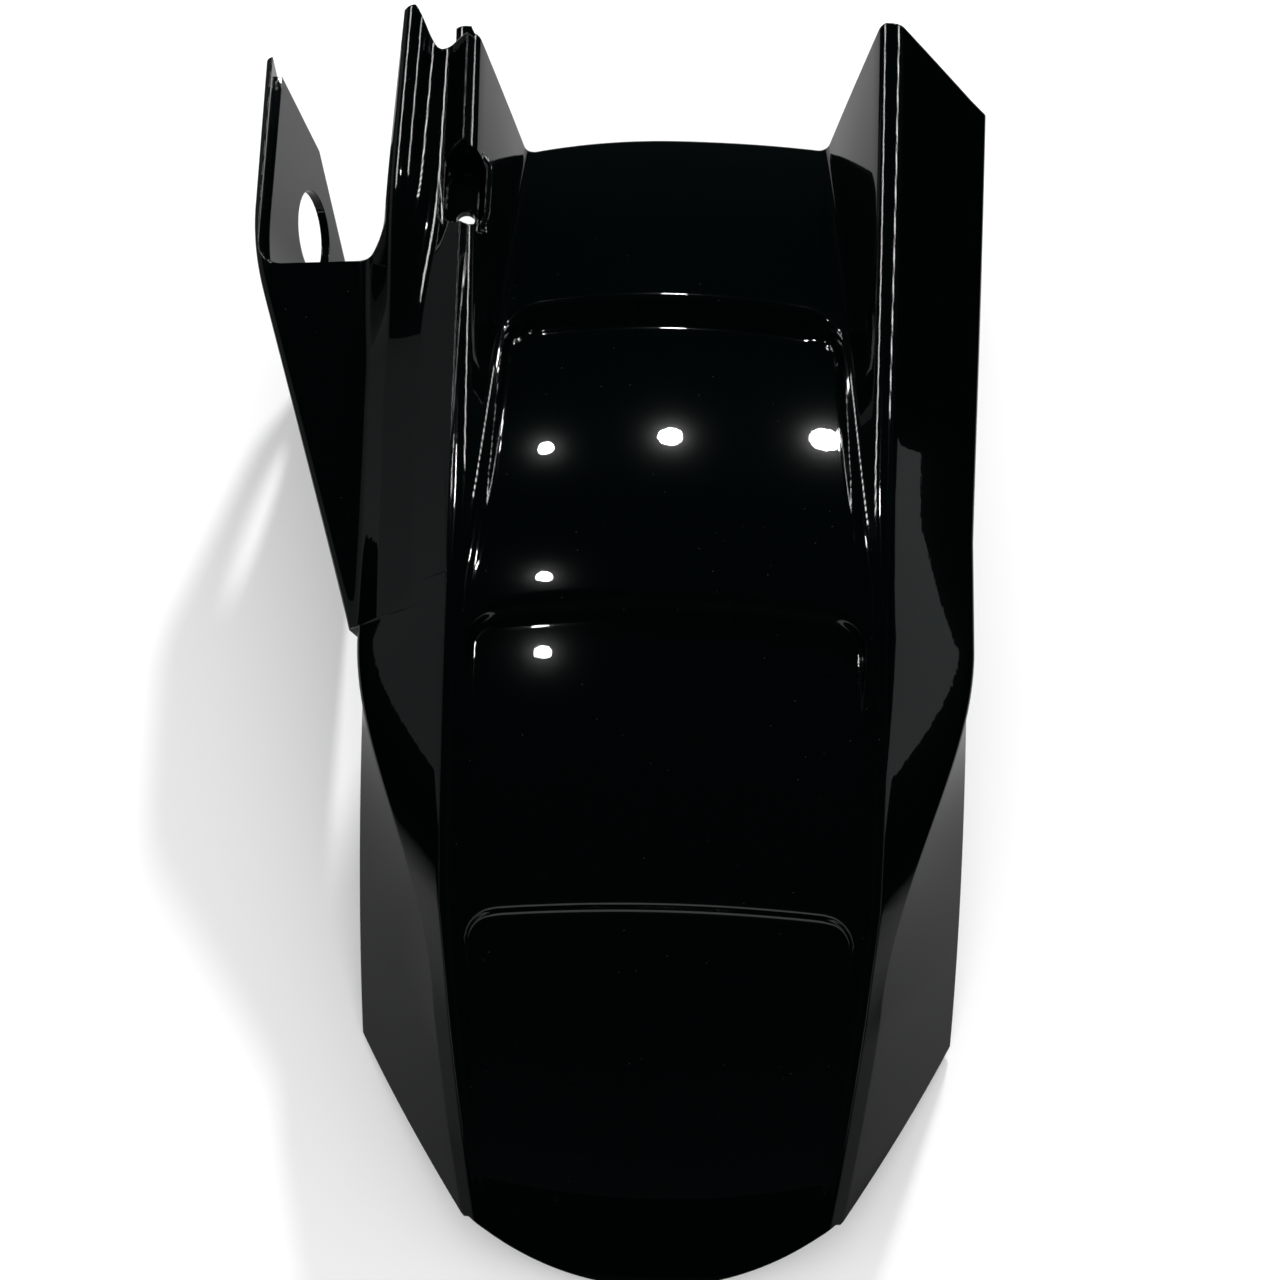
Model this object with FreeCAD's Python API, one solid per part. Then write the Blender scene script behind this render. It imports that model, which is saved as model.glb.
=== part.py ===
import FreeCAD, Part
import math
import os

# Rear hugger: one moulded sheet that arches over a rear wheel, with a chain guard on its left side.
# X is to the right, Y is forward, Z is up, and the part lies on Z = 0.
# Sizes are given from the wheel's middle plane and axle.
# Stations along the arch are angles about the axle, positive to the front.

# sheet
wall = 3.5
axle_drop = 221.0
stations = [-56, -48, -40, -31, -24, -17, -11, -6, -1, 5, 12, 20, 28, 34]
under_run = 14.0

# shoulder crests
crest_half = 74.5
crest_narrowing = 13.5
crest_half_tail = crest_half - crest_narrowing
crest_radius = 345.5
crest_tangent = -7.75
crest_round = 5.0
crest_taper_start = -24.0
tail_angle = -50.0

# crown between the shoulders
crown_radius = 348.5
crown_rise = 6.0
floor_half_rear = crest_half - wall
floor_narrowing = 14.0
floor_half_front = floor_half_rear - floor_narrowing
floor_taper_start = -5.0
front_angle = 27.5
foot_round = 4.0
foot_lead = 12.0

# flanks
flank_width = 37.5
flank_flare = 6.5
shoulder_turned = 3.5
shoulder_tail = 5.5
crease_half = crest_half + flank_width
crease_half_front = crease_half + flank_flare
crease_half_turned = crest_half + shoulder_turned
crease_half_tail = crest_half_tail + shoulder_tail
crease_drop_tail = 4.5
crease_level = 301.5
crease_climb = 0.05
crease_turn_start = -8.0
crease_turn_end = -31.0
crease_radius_turned = 337.5
crease_round = 6.0
skirt_tuck = 0.5
skirt_half = crease_half - skirt_tuck
skirt_radius = 285.0
skirt_radius_front = 252.0
skirt_drop_start = 2.0

# sunk panels: step angle, depth at the step, length in degrees
panel_steps = [(12.6, 7.5, 18.0), (-6.2, 6.5, 11.0), (-23.5, 4.5, 9.0)]
panel_inset = 4.0
panel_corner = 13.0
panel_foot = 4.0
panel_run_out = 1.2
panel_wall_lean = 20.0
panel_head = 16.0
step_slope = 45.0

# front and tail trims
crest_tip_y = 168.5
crown_front_y = 153.0
flank_front_y = 170.0
tail_reach = 266.0
tail_corner_y = 242.5
skirt_corner_y = 177.0
skirt_corner_height = 3.0
tail_corner_height = 17.0

# chain guard, heights above the ground
guard_rear_y = -38.0
guard_stations = 14
guard_front_y = 182.0
guard_sink = 2.2
guard_parting = 6.0
break_x = -crease_half
break_z_rear = 79.0
break_climb = 0.238
fold_step = 4.0
fold_x_rear = break_x - fold_step
guard_width = 45.0
fold_x_front = break_x - guard_width
fold_z_rear = 75.0
fold_z_front = 107.0
fold_end_y = 99.0
fold_round = 4.5
fold_bend = 0.12
flap_lean = 0.2
flap_under = 12.0
flap_rear_z = 58.0
flap_foot_rear_y = 84.0
flap_foot_front_y = 116.0
flap_tip_y = 176.0
flap_front = [(135.0, 21.0), (166.0, 57.0)]
flap_hole_y = 130.0
flap_hole_z = 55.0
flap_hole_radius = 17.0

# post with its valley, and the notch between post and flap
post_gap_rear = 30.5
post_gap_front = 21.5
post_x_rear = -crest_half - post_gap_rear
post_x_front = -crest_half - post_gap_front
post_start_y = 45.0
post_full_y = 120.0
post_tip_y = 176.0
post_round = 4.5
post_least = 0.04
valley_depth = 12.0
valley_round = 5.0
notch_y = 92.0
notch_corner = 9.0
notch_floor = 98.0
flank_cut_y = -12.0
flank_overlap = 2.5

# screw recess in the left crest
recess_side = 0.9
recess_x = -crest_half - recess_side
recess_y = 109.0
recess_radius = 7.2
recess_length = 30.0
recess_wall = 2.2
recess_depth = 17.0
recess_rim = 10.0
screw_radius = 3.3

# how far the cutting volumes run past the sheet
margin = 20.0
reach = 400.0


def at(x, r, angle):
    a = math.radians(angle)
    return FreeCAD.Vector(x, r * math.sin(a), r * math.cos(a) - axle_drop)


def ease(t):
    t = max(0.0, min(1.0, t))
    return t * t * (3.0 - 2.0 * t)


def blend(a, b, t):
    return a + (b - a) * t


def line_radius(level, climb, angle):
    # radius at which a straight side-view line crosses a station
    a = math.radians(angle)
    return level / (math.cos(a) - climb * math.sin(a))


def crest_at(angle):
    tail = max(0.0, (crest_taper_start - angle) / (crest_taper_start - tail_angle))
    x = blend(crest_half, crest_half_tail, min(1.0, tail))
    if angle < crest_tangent:
        return x, crest_radius
    return x, crest_radius / math.cos(math.radians(angle - crest_tangent))


def foot_at(angle):
    t = max(0.0, (angle - floor_taper_start) / (front_angle - floor_taper_start))
    x = blend(floor_half_rear, floor_half_front, t ** 0.6)
    x = min(x, crest_at(angle)[0] - wall)
    return x, crown_radius - crown_rise * (x / floor_half_rear) ** 2


def crease_at(angle):
    front = max(0.0, angle / front_angle)
    x = blend(crease_half, crease_half_front, front)
    r = line_radius(crease_level, crease_climb, max(angle, crease_turn_start))
    t = ease((crease_turn_start - angle) / (crease_turn_start - crease_turn_end))
    x = blend(x, crease_half_turned, t)
    r = blend(r, crease_radius_turned, t)
    if angle < crease_turn_end:
        s = (crease_turn_end - angle) / (crease_turn_end - tail_angle)
        x = blend(crease_half_turned, crease_half_tail, s)
        r = blend(crease_radius_turned, crest_radius - crease_drop_tail, s)
    return x, r


def skirt_at(angle):
    t = ease((angle - skirt_drop_start) / (front_angle - skirt_drop_start))
    return skirt_half, blend(skirt_radius, skirt_radius_front, t)


def offset(points, distance):
    # parallel of an open outline, to the left of its direction
    normals = []
    for a, b in zip(points, points[1:]):
        length = math.hypot(b[0] - a[0], b[1] - a[1])
        normals.append((-(b[1] - a[1]) / length, (b[0] - a[0]) / length))
    moved = [(points[0][0] + normals[0][0] * distance, points[0][1] + normals[0][1] * distance)]
    for p, m, n in zip(points[1:-1], normals, normals[1:]):
        k = distance / (1.0 + m[0] * n[0] + m[1] * n[1])
        moved.append((p[0] + (m[0] + n[0]) * k, p[1] + (m[1] + n[1]) * k))
    last = normals[-1]
    moved.append((points[-1][0] + last[0] * distance, points[-1][1] + last[1] * distance))
    return moved


def bezier(points, start=0.0, end=1.0):
    curve = Part.BezierCurve()
    curve.setPoles(points)
    curve.segment(start, end)
    return curve.toShape()


def corner(a, p, b, radius):
    # four control points of the curve that rounds the corner p
    la = math.hypot(a[0] - p[0], a[1] - p[1])
    lb = math.hypot(b[0] - p[0], b[1] - p[1])
    u = ((a[0] - p[0]) / la, (a[1] - p[1]) / la)
    v = ((b[0] - p[0]) / lb, (b[1] - p[1]) / lb)
    half = math.acos(max(-1.0, min(1.0, u[0] * v[0] + u[1] * v[1]))) / 2.0
    run = min(radius / math.tan(half), 0.45 * la, 0.45 * lb)
    handle = 4.0 / 3.0 * math.tan((math.pi - 2.0 * half) / 4.0) * run * math.tan(half)
    steps = [(u, run), (u, run - handle), (v, run - handle), (v, run)]
    return [(p[0] + d[0] * k, p[1] + d[1] * k) for d, k in steps]


def line(a, b):
    return Part.LineSegment(a, b).toShape()


def rounded(points, radii, place):
    # edges of an open outline with rounded corners, or plain ones where the radius is nil, and its last point
    edges = []
    here = points[0]
    for i, radius in enumerate(radii):
        if radius <= 0.0:
            edges.append(line(place(here), place(points[i + 1])))
            here = points[i + 1]
            continue
        curve = corner(points[i], points[i + 1], points[i + 2], radius)
        edges.append(line(place(here), place(curve[0])))
        for start, end in ((0.0, 0.5), (0.5, 1.0)):
            edges.append(bezier([place(q) for q in curve], start, end))
        here = curve[-1]
    return edges, here


def half_outline(angle):
    fx, fr = foot_at(angle)
    slope = 2.0 * crown_rise * fx / floor_half_rear ** 2
    inner = (fx - foot_lead, fr + foot_lead * slope)
    return [skirt_at(angle), crease_at(angle), crest_at(angle), (fx, fr), inner]


def body_section(angle, inset, extra):
    points = half_outline(angle)
    radii = [crease_round, crest_round, foot_round]
    if inset:
        points = offset(points, inset)
        radii = [0.0, 0.0, foot_round + inset]
    if extra:
        a, b = points[1], points[0]
        length = math.hypot(b[0] - a[0], b[1] - a[1])
        points[0] = (b[0] + (b[0] - a[0]) / length * extra, b[1] + (b[1] - a[1]) / length * extra)
    right, end = rounded(points, radii, lambda p: at(p[0], p[1], angle))
    left, mirror_end = rounded(points, radii, lambda p: at(-p[0], p[1], angle))
    slope = (points[-1][1] - points[-2][1]) / (points[-2][0] - points[-1][0])
    # a cubic's middle stands at three quarters of the height of its handles
    rise = (crown_radius - inset - end[1]) / 0.75
    run = end[0] - rise / slope
    high = end[1] + rise
    poles = [(end[0], end[1]), (run, high), (-run, high), (-end[0], end[1])]
    crown = bezier([at(x, r, angle) for x, r in poles])
    low_x, low_r = points[0]
    base = line(at(-low_x, low_r, angle), at(low_x, low_r, angle))
    return Part.Wire(right + [crown] + left[::-1] + [base])


def body_block(inset, extra):
    return Part.makeLoft([body_section(a, inset, extra) for a in stations], True, False)


def panel_wire(angle, depth, half, lean):
    # closed outline across one station of a sunk panel, leaning forward at its step
    radial = at(0.0, 1.0, angle) - at(0.0, 0.0, angle)
    along = FreeCAD.Vector(0.0, radial.z, -radial.y)
    origin = at(0.0, crown_radius, angle)

    def place(x, up):
        sunk = up - depth - crown_rise * (x / floor_half_rear) ** 2
        return origin + FreeCAD.Vector(x, 0.0, 0.0) + radial * sunk + along * (lean * sunk)

    top = panel_head + depth
    wide = half + top * math.tan(math.radians(panel_wall_lean))
    left_foot = place(-half, 0.0)
    right_foot = place(half, 0.0)
    handle = place(0.0, 0.0) * 2.0 - (left_foot + right_foot) * 0.5
    floor = bezier([left_foot, handle, right_foot])
    right = line(right_foot, place(wide, top))
    roof = line(place(wide, top), place(-wide, top))
    left = line(place(-wide, top), left_foot)
    return Part.Wire([floor, right, roof, left])


def panel_tool(step, depth, length, grow):
    # volume sunk into the crown behind one step, larger by grow for the underside of the sheet
    wires = []
    slope = 1.0 / math.tan(math.radians(step_slope))
    front = step + math.degrees(grow * math.sqrt(1.0 + slope * slope) / crown_radius)
    for t in (0.0, 0.33, 0.67, 1.0):
        angle = blend(front, step - length, t)
        sunk = blend(depth, -panel_run_out, t) + grow
        half = foot_at(min(angle, step))[0] - panel_inset + grow
        lean = slope if t == 0.0 else 0.0
        wires.append(panel_wire(angle, sunk, half, lean))
    tool = Part.makeLoft(wires, True, False)
    if grow:
        return tool
    front_sides = [wires[0].Edges[1].CenterOfMass, wires[0].Edges[3].CenterOfMass]
    corners = [e for e in tool.Edges if min(e.CenterOfMass.distanceToPoint(c) for c in front_sides) < 0.5]
    tool = tool.makeFillet(panel_corner, corners)
    return round_floor(tool, wires[-1], panel_foot)


def round_floor(tool, last, radius):
    # rounds the foot of the step and of the panel sides
    floor = [f for f in tool.Faces if is_floor(f)]
    end = last.Edges[0].CenterOfMass
    edges = [e for e in floor[0].Edges if e.CenterOfMass.distanceToPoint(end) > 1.0]
    return tool.makeFillet(radius, edges)


def is_floor(face):
    # the face that looks towards the axle
    u0, u1, v0, v1 = face.ParameterRange
    normal = face.normalAt((u0 + u1) / 2.0, (v0 + v1) / 2.0)
    centre = face.valueAt((u0 + u1) / 2.0, (v0 + v1) / 2.0)
    inward = FreeCAD.Vector(0.0, -centre.y, -centre.z - axle_drop)
    inward.normalize()
    return normal.dot(inward) > 0.9


def side_prism(outline, x0, x1):
    # side-view outline (y, z) carried across from x0 to x1
    points = [FreeCAD.Vector(x0, y, z) for y, z in outline]
    face = Part.Face(Part.makePolygon(points + [points[0]]))
    return face.extrude(FreeCAD.Vector(x1 - x0, 0.0, 0.0))


def crest_height(y):
    a = math.radians(-crest_tangent)
    if y < -crest_radius * math.sin(a):
        return math.sqrt(crest_radius ** 2 - y * y) - axle_drop
    return crest_radius / math.cos(a) + y * math.tan(a) - axle_drop


def soft_end(t):
    # rises straight with t and turns level at one over a short bend
    bend = fold_bend
    if t < 1.0 - bend:
        return t
    if t > 1.0 + bend:
        return 1.0
    return t - (t - 1.0 + bend) ** 2 / (4.0 * bend)


def guard_outline(y):
    crest = (-crest_half, crest_height(y) - guard_sink)
    bend = (break_x, break_z_rear + break_climb * (y - guard_rear_y))
    run = soft_end((y - guard_rear_y) / (fold_end_y - guard_rear_y))
    fold = (blend(fold_x_rear, fold_x_front, run), blend(fold_z_rear, fold_z_front, run))
    low = -flap_under
    foot = (fold[0] + flap_lean * (fold[1] - low), low)
    rise = max(post_least, ease((y - post_start_y) / (post_full_y - post_start_y)))
    along = max(0.0, min(1.0, (y - post_start_y) / (post_tip_y - post_start_y)))
    post_x = blend(post_x_rear, post_x_front, along)
    valley_x = (crest[0] + post_x) / 2.0

    def slope_z(x):
        return blend(crest[1], bend[1], (x - crest[0]) / (bend[0] - crest[0]))

    valley = (valley_x, blend(slope_z(valley_x), crest[1] - valley_depth, rise))
    post = (post_x, blend(slope_z(post_x), crest[1], rise))
    return [crest, valley, post, bend, fold, foot]


def guard_section(y):
    def place(p):
        return FreeCAD.Vector(p[0], y, p[1])

    top = guard_outline(y)
    under = offset(top, wall)
    radii = [valley_round + wall, post_round, valley_round + wall, fold_round]
    inner_radii = [valley_round, 0.0, valley_round, 0.0]
    upper, a = rounded(top, radii, place)
    lower, b = rounded(under, inner_radii, place)
    upper.append(line(place(a), place(top[-1])))
    lower.append(line(place(b), place(under[-1])))
    head = line(place(under[0]), place(top[0]))
    tail = line(place(top[-1]), place(under[-1]))
    return Part.Wire([head] + upper + [tail] + lower[::-1])


def guard_sheet():
    pitch = (guard_front_y - guard_rear_y) / (guard_stations - 1)
    sections = [guard_section(guard_rear_y + pitch * i) for i in range(guard_stations)]
    sheet = Part.makeLoft(sections, True, False)
    lower = [(guard_rear_y, flap_rear_z), (flap_foot_rear_y, 0.0), (flap_foot_rear_y, -reach)]
    lower = lower + [(guard_rear_y - margin, -reach), (guard_rear_y - margin, flap_rear_z)]
    sheet = sheet.cut(side_prism(lower, -reach, 0.0))
    front = [(flap_foot_front_y, -reach), (flap_foot_front_y, 0.0)] + flap_front
    front = front + [(flap_tip_y, fold_z_front), (flap_tip_y, reach), (reach, reach), (reach, -reach)]
    parting = break_x - guard_parting
    sheet = sheet.cut(side_prism(front, -reach, parting))
    post = front_line(post_tip_y) + [(2.0 * reach, reach), (2.0 * reach, -reach)]
    sheet = sheet.cut(side_prism(post, parting, 0.0))
    return sheet.cut(notch_tool())


def notch_tool():
    # plan-view notch between the flap and the post, open to the front
    left = fold_x_front + wall
    span = post_tip_y - post_start_y
    near = blend(post_x_rear, post_x_front, (notch_y - post_start_y) / span) - post_round
    far = blend(post_x_rear, post_x_front, (reach - post_start_y) / span) - post_round
    plan = [(left, notch_y), (near, notch_y), (far, reach), (left, reach)]
    points = [FreeCAD.Vector(x, y, notch_floor) for x, y in plan]
    tool = Part.Face(Part.makePolygon(points + [points[0]])).extrude(FreeCAD.Vector(0.0, 0.0, reach))
    corners = [e for e in tool.Edges if abs(e.CenterOfMass.y - notch_y) < 0.1 and e.BoundBox.ZLength > 1.0]
    return tool.makeFillet(notch_corner, corners)


def crown_shell():
    outer = body_block(0.0, 0.0)
    inner = body_block(wall, under_run)
    for step, depth, length in panel_steps:
        outer = outer.cut(panel_tool(step, depth, length, 0.0))
        inner = inner.cut(panel_tool(step, depth, length, wall))
    return outer.cut(inner)


def front_line(tip_y):
    # leaning side-view line through the crest's height at tip_y
    foot = foot_at(front_angle)[1] * math.cos(math.radians(front_angle)) - axle_drop
    lean = (crest_tip_y - crown_front_y) / (crest_height(crest_tip_y) - foot)
    top = crest_height(tip_y)
    return [(tip_y - lean * (top + reach), -reach), (tip_y + lean * (reach - top), reach)]


def front_trim():
    # removes the front of the crown between the crests, and of the flanks outside them
    ahead = [(2.0 * reach, reach), (2.0 * reach, -reach)]
    middle = side_prism(front_line(crest_tip_y) + ahead, -crest_half, crest_half)
    outer = [(flank_front_y, -reach), (flank_front_y, reach)] + ahead
    return [middle, side_prism(outer, crest_half, reach), side_prism(outer, -reach, -crest_half)]


def tail_trim():
    # rounds the tail in plan, and trims the rear of the skirts in side view
    half = crease_half_tail
    arc = Part.Arc(
        FreeCAD.Vector(-half, -tail_corner_y, 0.0),
        FreeCAD.Vector(0.0, -tail_reach, 0.0),
        FreeCAD.Vector(half, -tail_corner_y, 0.0),
    ).toShape()
    corners = [(half, -tail_corner_y), (reach, -tail_corner_y), (reach, -reach), (-reach, -reach)]
    corners = corners + [(-reach, -tail_corner_y), (-half, -tail_corner_y)]
    sides = [FreeCAD.Vector(x, y, 0.0) for x, y in corners]
    face = Part.Face(Part.Wire([arc] + Part.makePolygon(sides).Edges))
    plan = face.extrude(FreeCAD.Vector(0.0, 0.0, reach))
    slope = (tail_corner_height - skirt_corner_height) / (tail_corner_y - skirt_corner_y)
    rise = tail_corner_height + slope * margin
    side = [(-skirt_corner_y, skirt_corner_height), (-tail_corner_y - margin, rise), (-reach, rise)]
    side = side + [(-reach, -reach), (-skirt_corner_y, -reach)]
    inside = crease_half_tail - 1.0
    return [plan, side_prism(side, inside, reach), side_prism(side, -reach, -inside)]


def ground_trim():
    return Part.makeBox(2.0 * reach, 2.0 * reach, reach, FreeCAD.Vector(-reach, -reach, -reach))


def left_flank_trim():
    # the chain guard takes the place of the flank here
    corner_point = FreeCAD.Vector(-reach, flank_cut_y, -reach)
    return Part.makeBox(reach - crest_half - flank_overlap, 2.0 * reach, 2.0 * reach, corner_point)


def slot_prism(radius, low, high):
    # upright prism with round ends, long along Y
    half = recess_length / 2.0 - recess_radius
    ends = []
    for way in (1.0, -1.0):
        points = [(way * radius, way * half), (0.0, way * (half + radius)), (-way * radius, way * half)]
        ends.append([FreeCAD.Vector(recess_x + x, recess_y + y, low) for x, y in points])
    front, rear = ends
    edges = [Part.Arc(*front).toShape(), line(front[2], rear[0])]
    edges = edges + [Part.Arc(*rear).toShape(), line(rear[2], front[0])]
    return Part.Face(Part.Wire(edges)).extrude(FreeCAD.Vector(0.0, 0.0, high - low))


def recess_cup():
    # walls and floor that hang from the crest
    top = crest_height(recess_y)
    return slot_prism(recess_radius + recess_wall, top - recess_depth - wall, top - recess_rim)


def recess_room():
    top = crest_height(recess_y)
    return slot_prism(recess_radius, top - recess_depth, top + margin)


def screw_hole():
    # at the middle of the recess's round rear end
    y = recess_y - recess_length / 2.0 + recess_radius
    return Part.makeCylinder(screw_radius, reach, FreeCAD.Vector(recess_x, y, -reach / 2.0))


def flap_hole():
    normal = FreeCAD.Vector(1.0, 0.0, flap_lean)
    normal.normalize()
    x = fold_x_front + flap_lean * (fold_z_front - flap_hole_z)
    start = FreeCAD.Vector(x, flap_hole_y, flap_hole_z) - normal * margin
    return Part.makeCylinder(flap_hole_radius, 2.0 * margin, start, normal)


def rear_hugger():
    shape = crown_shell()
    for tool in front_trim() + tail_trim() + [left_flank_trim()]:
        shape = shape.cut(tool)
    shape = shape.fuse(guard_sheet())
    shape = shape.fuse(recess_cup())
    for tool in [recess_room(), screw_hole(), flap_hole(), ground_trim()]:
        shape = shape.cut(tool)
    # the origin moves to the middle of the extents, on the ground
    middle_x = (fold_x_front + crease_half_front) / 2.0
    middle_y = (flap_tip_y - tail_reach) / 2.0
    shape.translate(FreeCAD.Vector(-middle_x, -middle_y, 0.0))
    return shape


os.makedirs("parts", exist_ok=True)
rear_hugger().exportStep("parts/rear_hugger.step")
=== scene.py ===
import bmesh
import bpy
import math
import numpy as np
from mathutils import Matrix, Vector


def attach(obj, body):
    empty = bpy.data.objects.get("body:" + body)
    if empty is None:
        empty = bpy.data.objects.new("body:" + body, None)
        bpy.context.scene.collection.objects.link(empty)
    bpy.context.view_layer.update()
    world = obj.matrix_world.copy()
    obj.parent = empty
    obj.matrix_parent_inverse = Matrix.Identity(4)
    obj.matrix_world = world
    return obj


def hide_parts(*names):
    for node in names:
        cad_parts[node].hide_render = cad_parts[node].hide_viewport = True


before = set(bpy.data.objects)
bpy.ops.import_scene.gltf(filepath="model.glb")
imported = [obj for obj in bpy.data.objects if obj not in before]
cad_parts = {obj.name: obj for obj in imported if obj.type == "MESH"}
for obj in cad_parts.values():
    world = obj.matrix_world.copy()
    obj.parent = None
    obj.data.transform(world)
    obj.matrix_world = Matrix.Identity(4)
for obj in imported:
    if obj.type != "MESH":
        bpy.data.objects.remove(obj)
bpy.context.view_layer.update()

# sizes are in mm from the wheel's middle plane and axle, angles in degrees about the axle
sheet = dict(
    wall=3.5,
    axleDrop=221.0,
    middleX=19.25,
    middleY=45.0,
    tailLimit=-56.0,
    tailRow=-36.0,
    frontRow=20.0,
    frontLimit=34.0,
    tailCount=20,
    frontCount=16,
    leftCount=6,
    partCounts=(8, 8, 12, 9, 8, 7),
    halvings=30,
    roundShare=0.45,
    mergeWithin=0.01,
    sharpAngle=38.0,
)
crown = dict(
    radius=348.5,
    rise=6.0,
    halfRear=71.0,
    halfFront=57.0,
    taperStart=-5.0,
    taperPower=0.6,
    frontAngle=27.5,
    footRound=4.0,
    footLead=12.0,
    edgeBand=9.0,
    edgePitch=0.6,
    nearBand=22.0,
    nearPitch=1.3,
    middleCount=17,
)
crest = dict(
    half=74.5,
    halfTail=61.0,
    radius=345.5,
    tangent=-7.75,
    round=5.0,
    taperStart=-24.0,
    tailAngle=-50.0,
)
flank = dict(
    creaseHalf=112.0,
    creaseHalfFront=118.5,
    creaseHalfTail=66.5,
    creaseLevel=301.5,
    creaseClimb=0.05,
    turnStart=-8.0,
    turnEnd=-31.0,
    turnedHalf=78.0,
    turnedRadius=337.5,
    tailDrop=4.5,
    creaseRound=6.0,
    skirtHalf=111.5,
    skirtRadius=285.0,
    skirtRadiusFront=252.0,
    skirtDropStart=2.0,
)
panel = dict(
    steps=[(12.6, 7.5, 18.0), (-6.2, 6.5, 11.0), (-23.5, 4.5, 9.0)],
    inset=4.0,
    corner=13.0,
    wallLean=20.0,
    runOut=1.2,
    footBlend=3.0,
    edgeBlend=1.8,
    rowAhead=0.8,
    rowBehind=4.4,
    finePitch=0.16,
    coarsePitch=0.75,
)
trim = dict(
    crestTipY=168.5,
    crownFrontY=153.0,
    flankFrontY=170.0,
    tailReach=266.0,
    tailSlack=1.0,
    tailCornerY=242.5,
    skirtCornerY=177.0,
    skirtCornerZ=3.0,
    tailCornerZ=18.9,
    leftRow=-9.0,
    leftEndY=-30.0,
    leftSetBack=6.0,
    rightLead=7.5,
    flankLead=3.5,
)
guard = dict(
    rearY=-38.0,
    frontY=182.0,
    rowPitch=2.4,
    flatCount=7,
    roundCount=10,
    flapCount=16,
    edgeCount=9,
    rearOver=5.0,
    breakX=-112.0,
    breakZ=79.0,
    breakClimb=0.238,
    foldRear=(-116.0, 75.0),
    foldFront=(-157.0, 107.0),
    foldEndY=99.0,
    foldRound=4.5,
    foldSoft=0.12,
    lean=0.2,
    under=12.0,
    flapRearZ=58.0,
    footRearY=84.0,
    footFrontY=116.0,
    tipY=176.0,
    front=[(135.0, 21.0), (166.0, 57.0)],
    holeY=130.0,
    holeZ=55.0,
    holeRadius=17.0,
    holeSides=72,
    postRear=-103.5,
    postFront=-94.8,
    postStartY=45.0,
    postFullY=120.0,
    postTipY=176.0,
    postRound=4.5,
    postLeast=0.04,
    valleyDepth=12.0,
    valleyRound=5.0,
    crestInset=1.5,
    crestSink=1.9,
    rearSink=0.45,
    rearBlend=12.0,
    parting=6.0,
    cutReach=12.0,
    notchY=92.0,
    notchCorner=9.0,
    notchFloor=98.0,
    frontEdge=[(-101.0, 177.0), (-97.0, 176.0), (-86.0, 162.0), (-77.5, 163.5), (-70.0, 162.0)],
)
recess = dict(
    x=-75.4,
    y=109.0,
    radius=7.2,
    length=30.0,
    wall=2.2,
    depth=17.0,
    rim=10.0,
    screwRadius=3.3,
    screwReach=30.0,
    clear=40.0,
    sides=48,
)
reach = 400.0


def toFrame(points):
    # axle coordinates in mm to the row frame in metres
    points = np.asarray(points, float)
    return (points + [sheet["middleX"], sheet["middleY"], 0.0]) / 1000.0


def ease(t):
    t = np.clip(t, 0.0, 1.0)
    return t * t * (3.0 - 2.0 * t)


def mix(a, b, t):
    return a + (b - a) * t


def softMin(a, b, k):
    h = np.clip(0.5 + 0.5 * (b - a) / k, 0.0, 1.0)
    return b * (1.0 - h) + a * h - k * h * (1.0 - h)


def crestAt(angle):
    tail = np.clip((crest["taperStart"] - angle) / (crest["taperStart"] - crest["tailAngle"]), 0.0, 1.0)
    x = mix(crest["half"], crest["halfTail"], tail)
    ahead = np.maximum(angle - crest["tangent"], 0.0)
    return x, crest["radius"] / np.cos(np.radians(ahead))


def footAt(angle):
    t = np.maximum((angle - crown["taperStart"]) / (crown["frontAngle"] - crown["taperStart"]), 0.0)
    x = mix(crown["halfRear"], crown["halfFront"], t ** crown["taperPower"])
    x = np.minimum(x, crestAt(angle)[0] - sheet["wall"])
    return x, crownRadius(x)


def crownRadius(x):
    return crown["radius"] - crown["rise"] * (x / crown["halfRear"]) ** 2


def creaseAt(angle):
    x = mix(flank["creaseHalf"], flank["creaseHalfFront"], np.maximum(angle / crown["frontAngle"], 0.0))
    a = np.radians(np.maximum(angle, flank["turnStart"]))
    r = flank["creaseLevel"] / (np.cos(a) - flank["creaseClimb"] * np.sin(a))
    t = ease((flank["turnStart"] - angle) / (flank["turnStart"] - flank["turnEnd"]))
    s = np.maximum((flank["turnEnd"] - angle) / (flank["turnEnd"] - crest["tailAngle"]), 0.0)
    x = mix(mix(x, flank["turnedHalf"], t), flank["creaseHalfTail"], s)
    r = mix(mix(r, flank["turnedRadius"], t), crest["radius"] - flank["tailDrop"], s)
    return x, r


def skirtAt(angle):
    t = ease((angle - flank["skirtDropStart"]) / (crown["frontAngle"] - flank["skirtDropStart"]))
    return np.full_like(angle, flank["skirtHalf"]), mix(flank["skirtRadius"], flank["skirtRadiusFront"], t)


def cornerCurve(a, p, b, radius):
    # control points of the curves that round a corner at every row
    la = np.linalg.norm(a - p, axis=1)
    lb = np.linalg.norm(b - p, axis=1)
    u = (a - p) / la[:, None]
    v = (b - p) / lb[:, None]
    half = np.arccos(np.clip((u * v).sum(axis=1), -1.0, 1.0)) / 2.0
    share = sheet["roundShare"]
    run = np.minimum(np.minimum(radius / np.tan(half), share * la), share * lb)
    handle = 4.0 / 3.0 * np.tan((math.pi - 2.0 * half) / 4.0) * run * np.tan(half)
    far, near = run[:, None], (run - handle)[:, None]
    return [p + u * far, p + u * near, p + v * near, p + v * far]


def along(curve, f):
    a, b, c, d = curve
    g = 1.0 - f
    return a * g ** 3 + b * 3.0 * f * g * g + c * 3.0 * f * f * g + d * f ** 3


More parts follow.
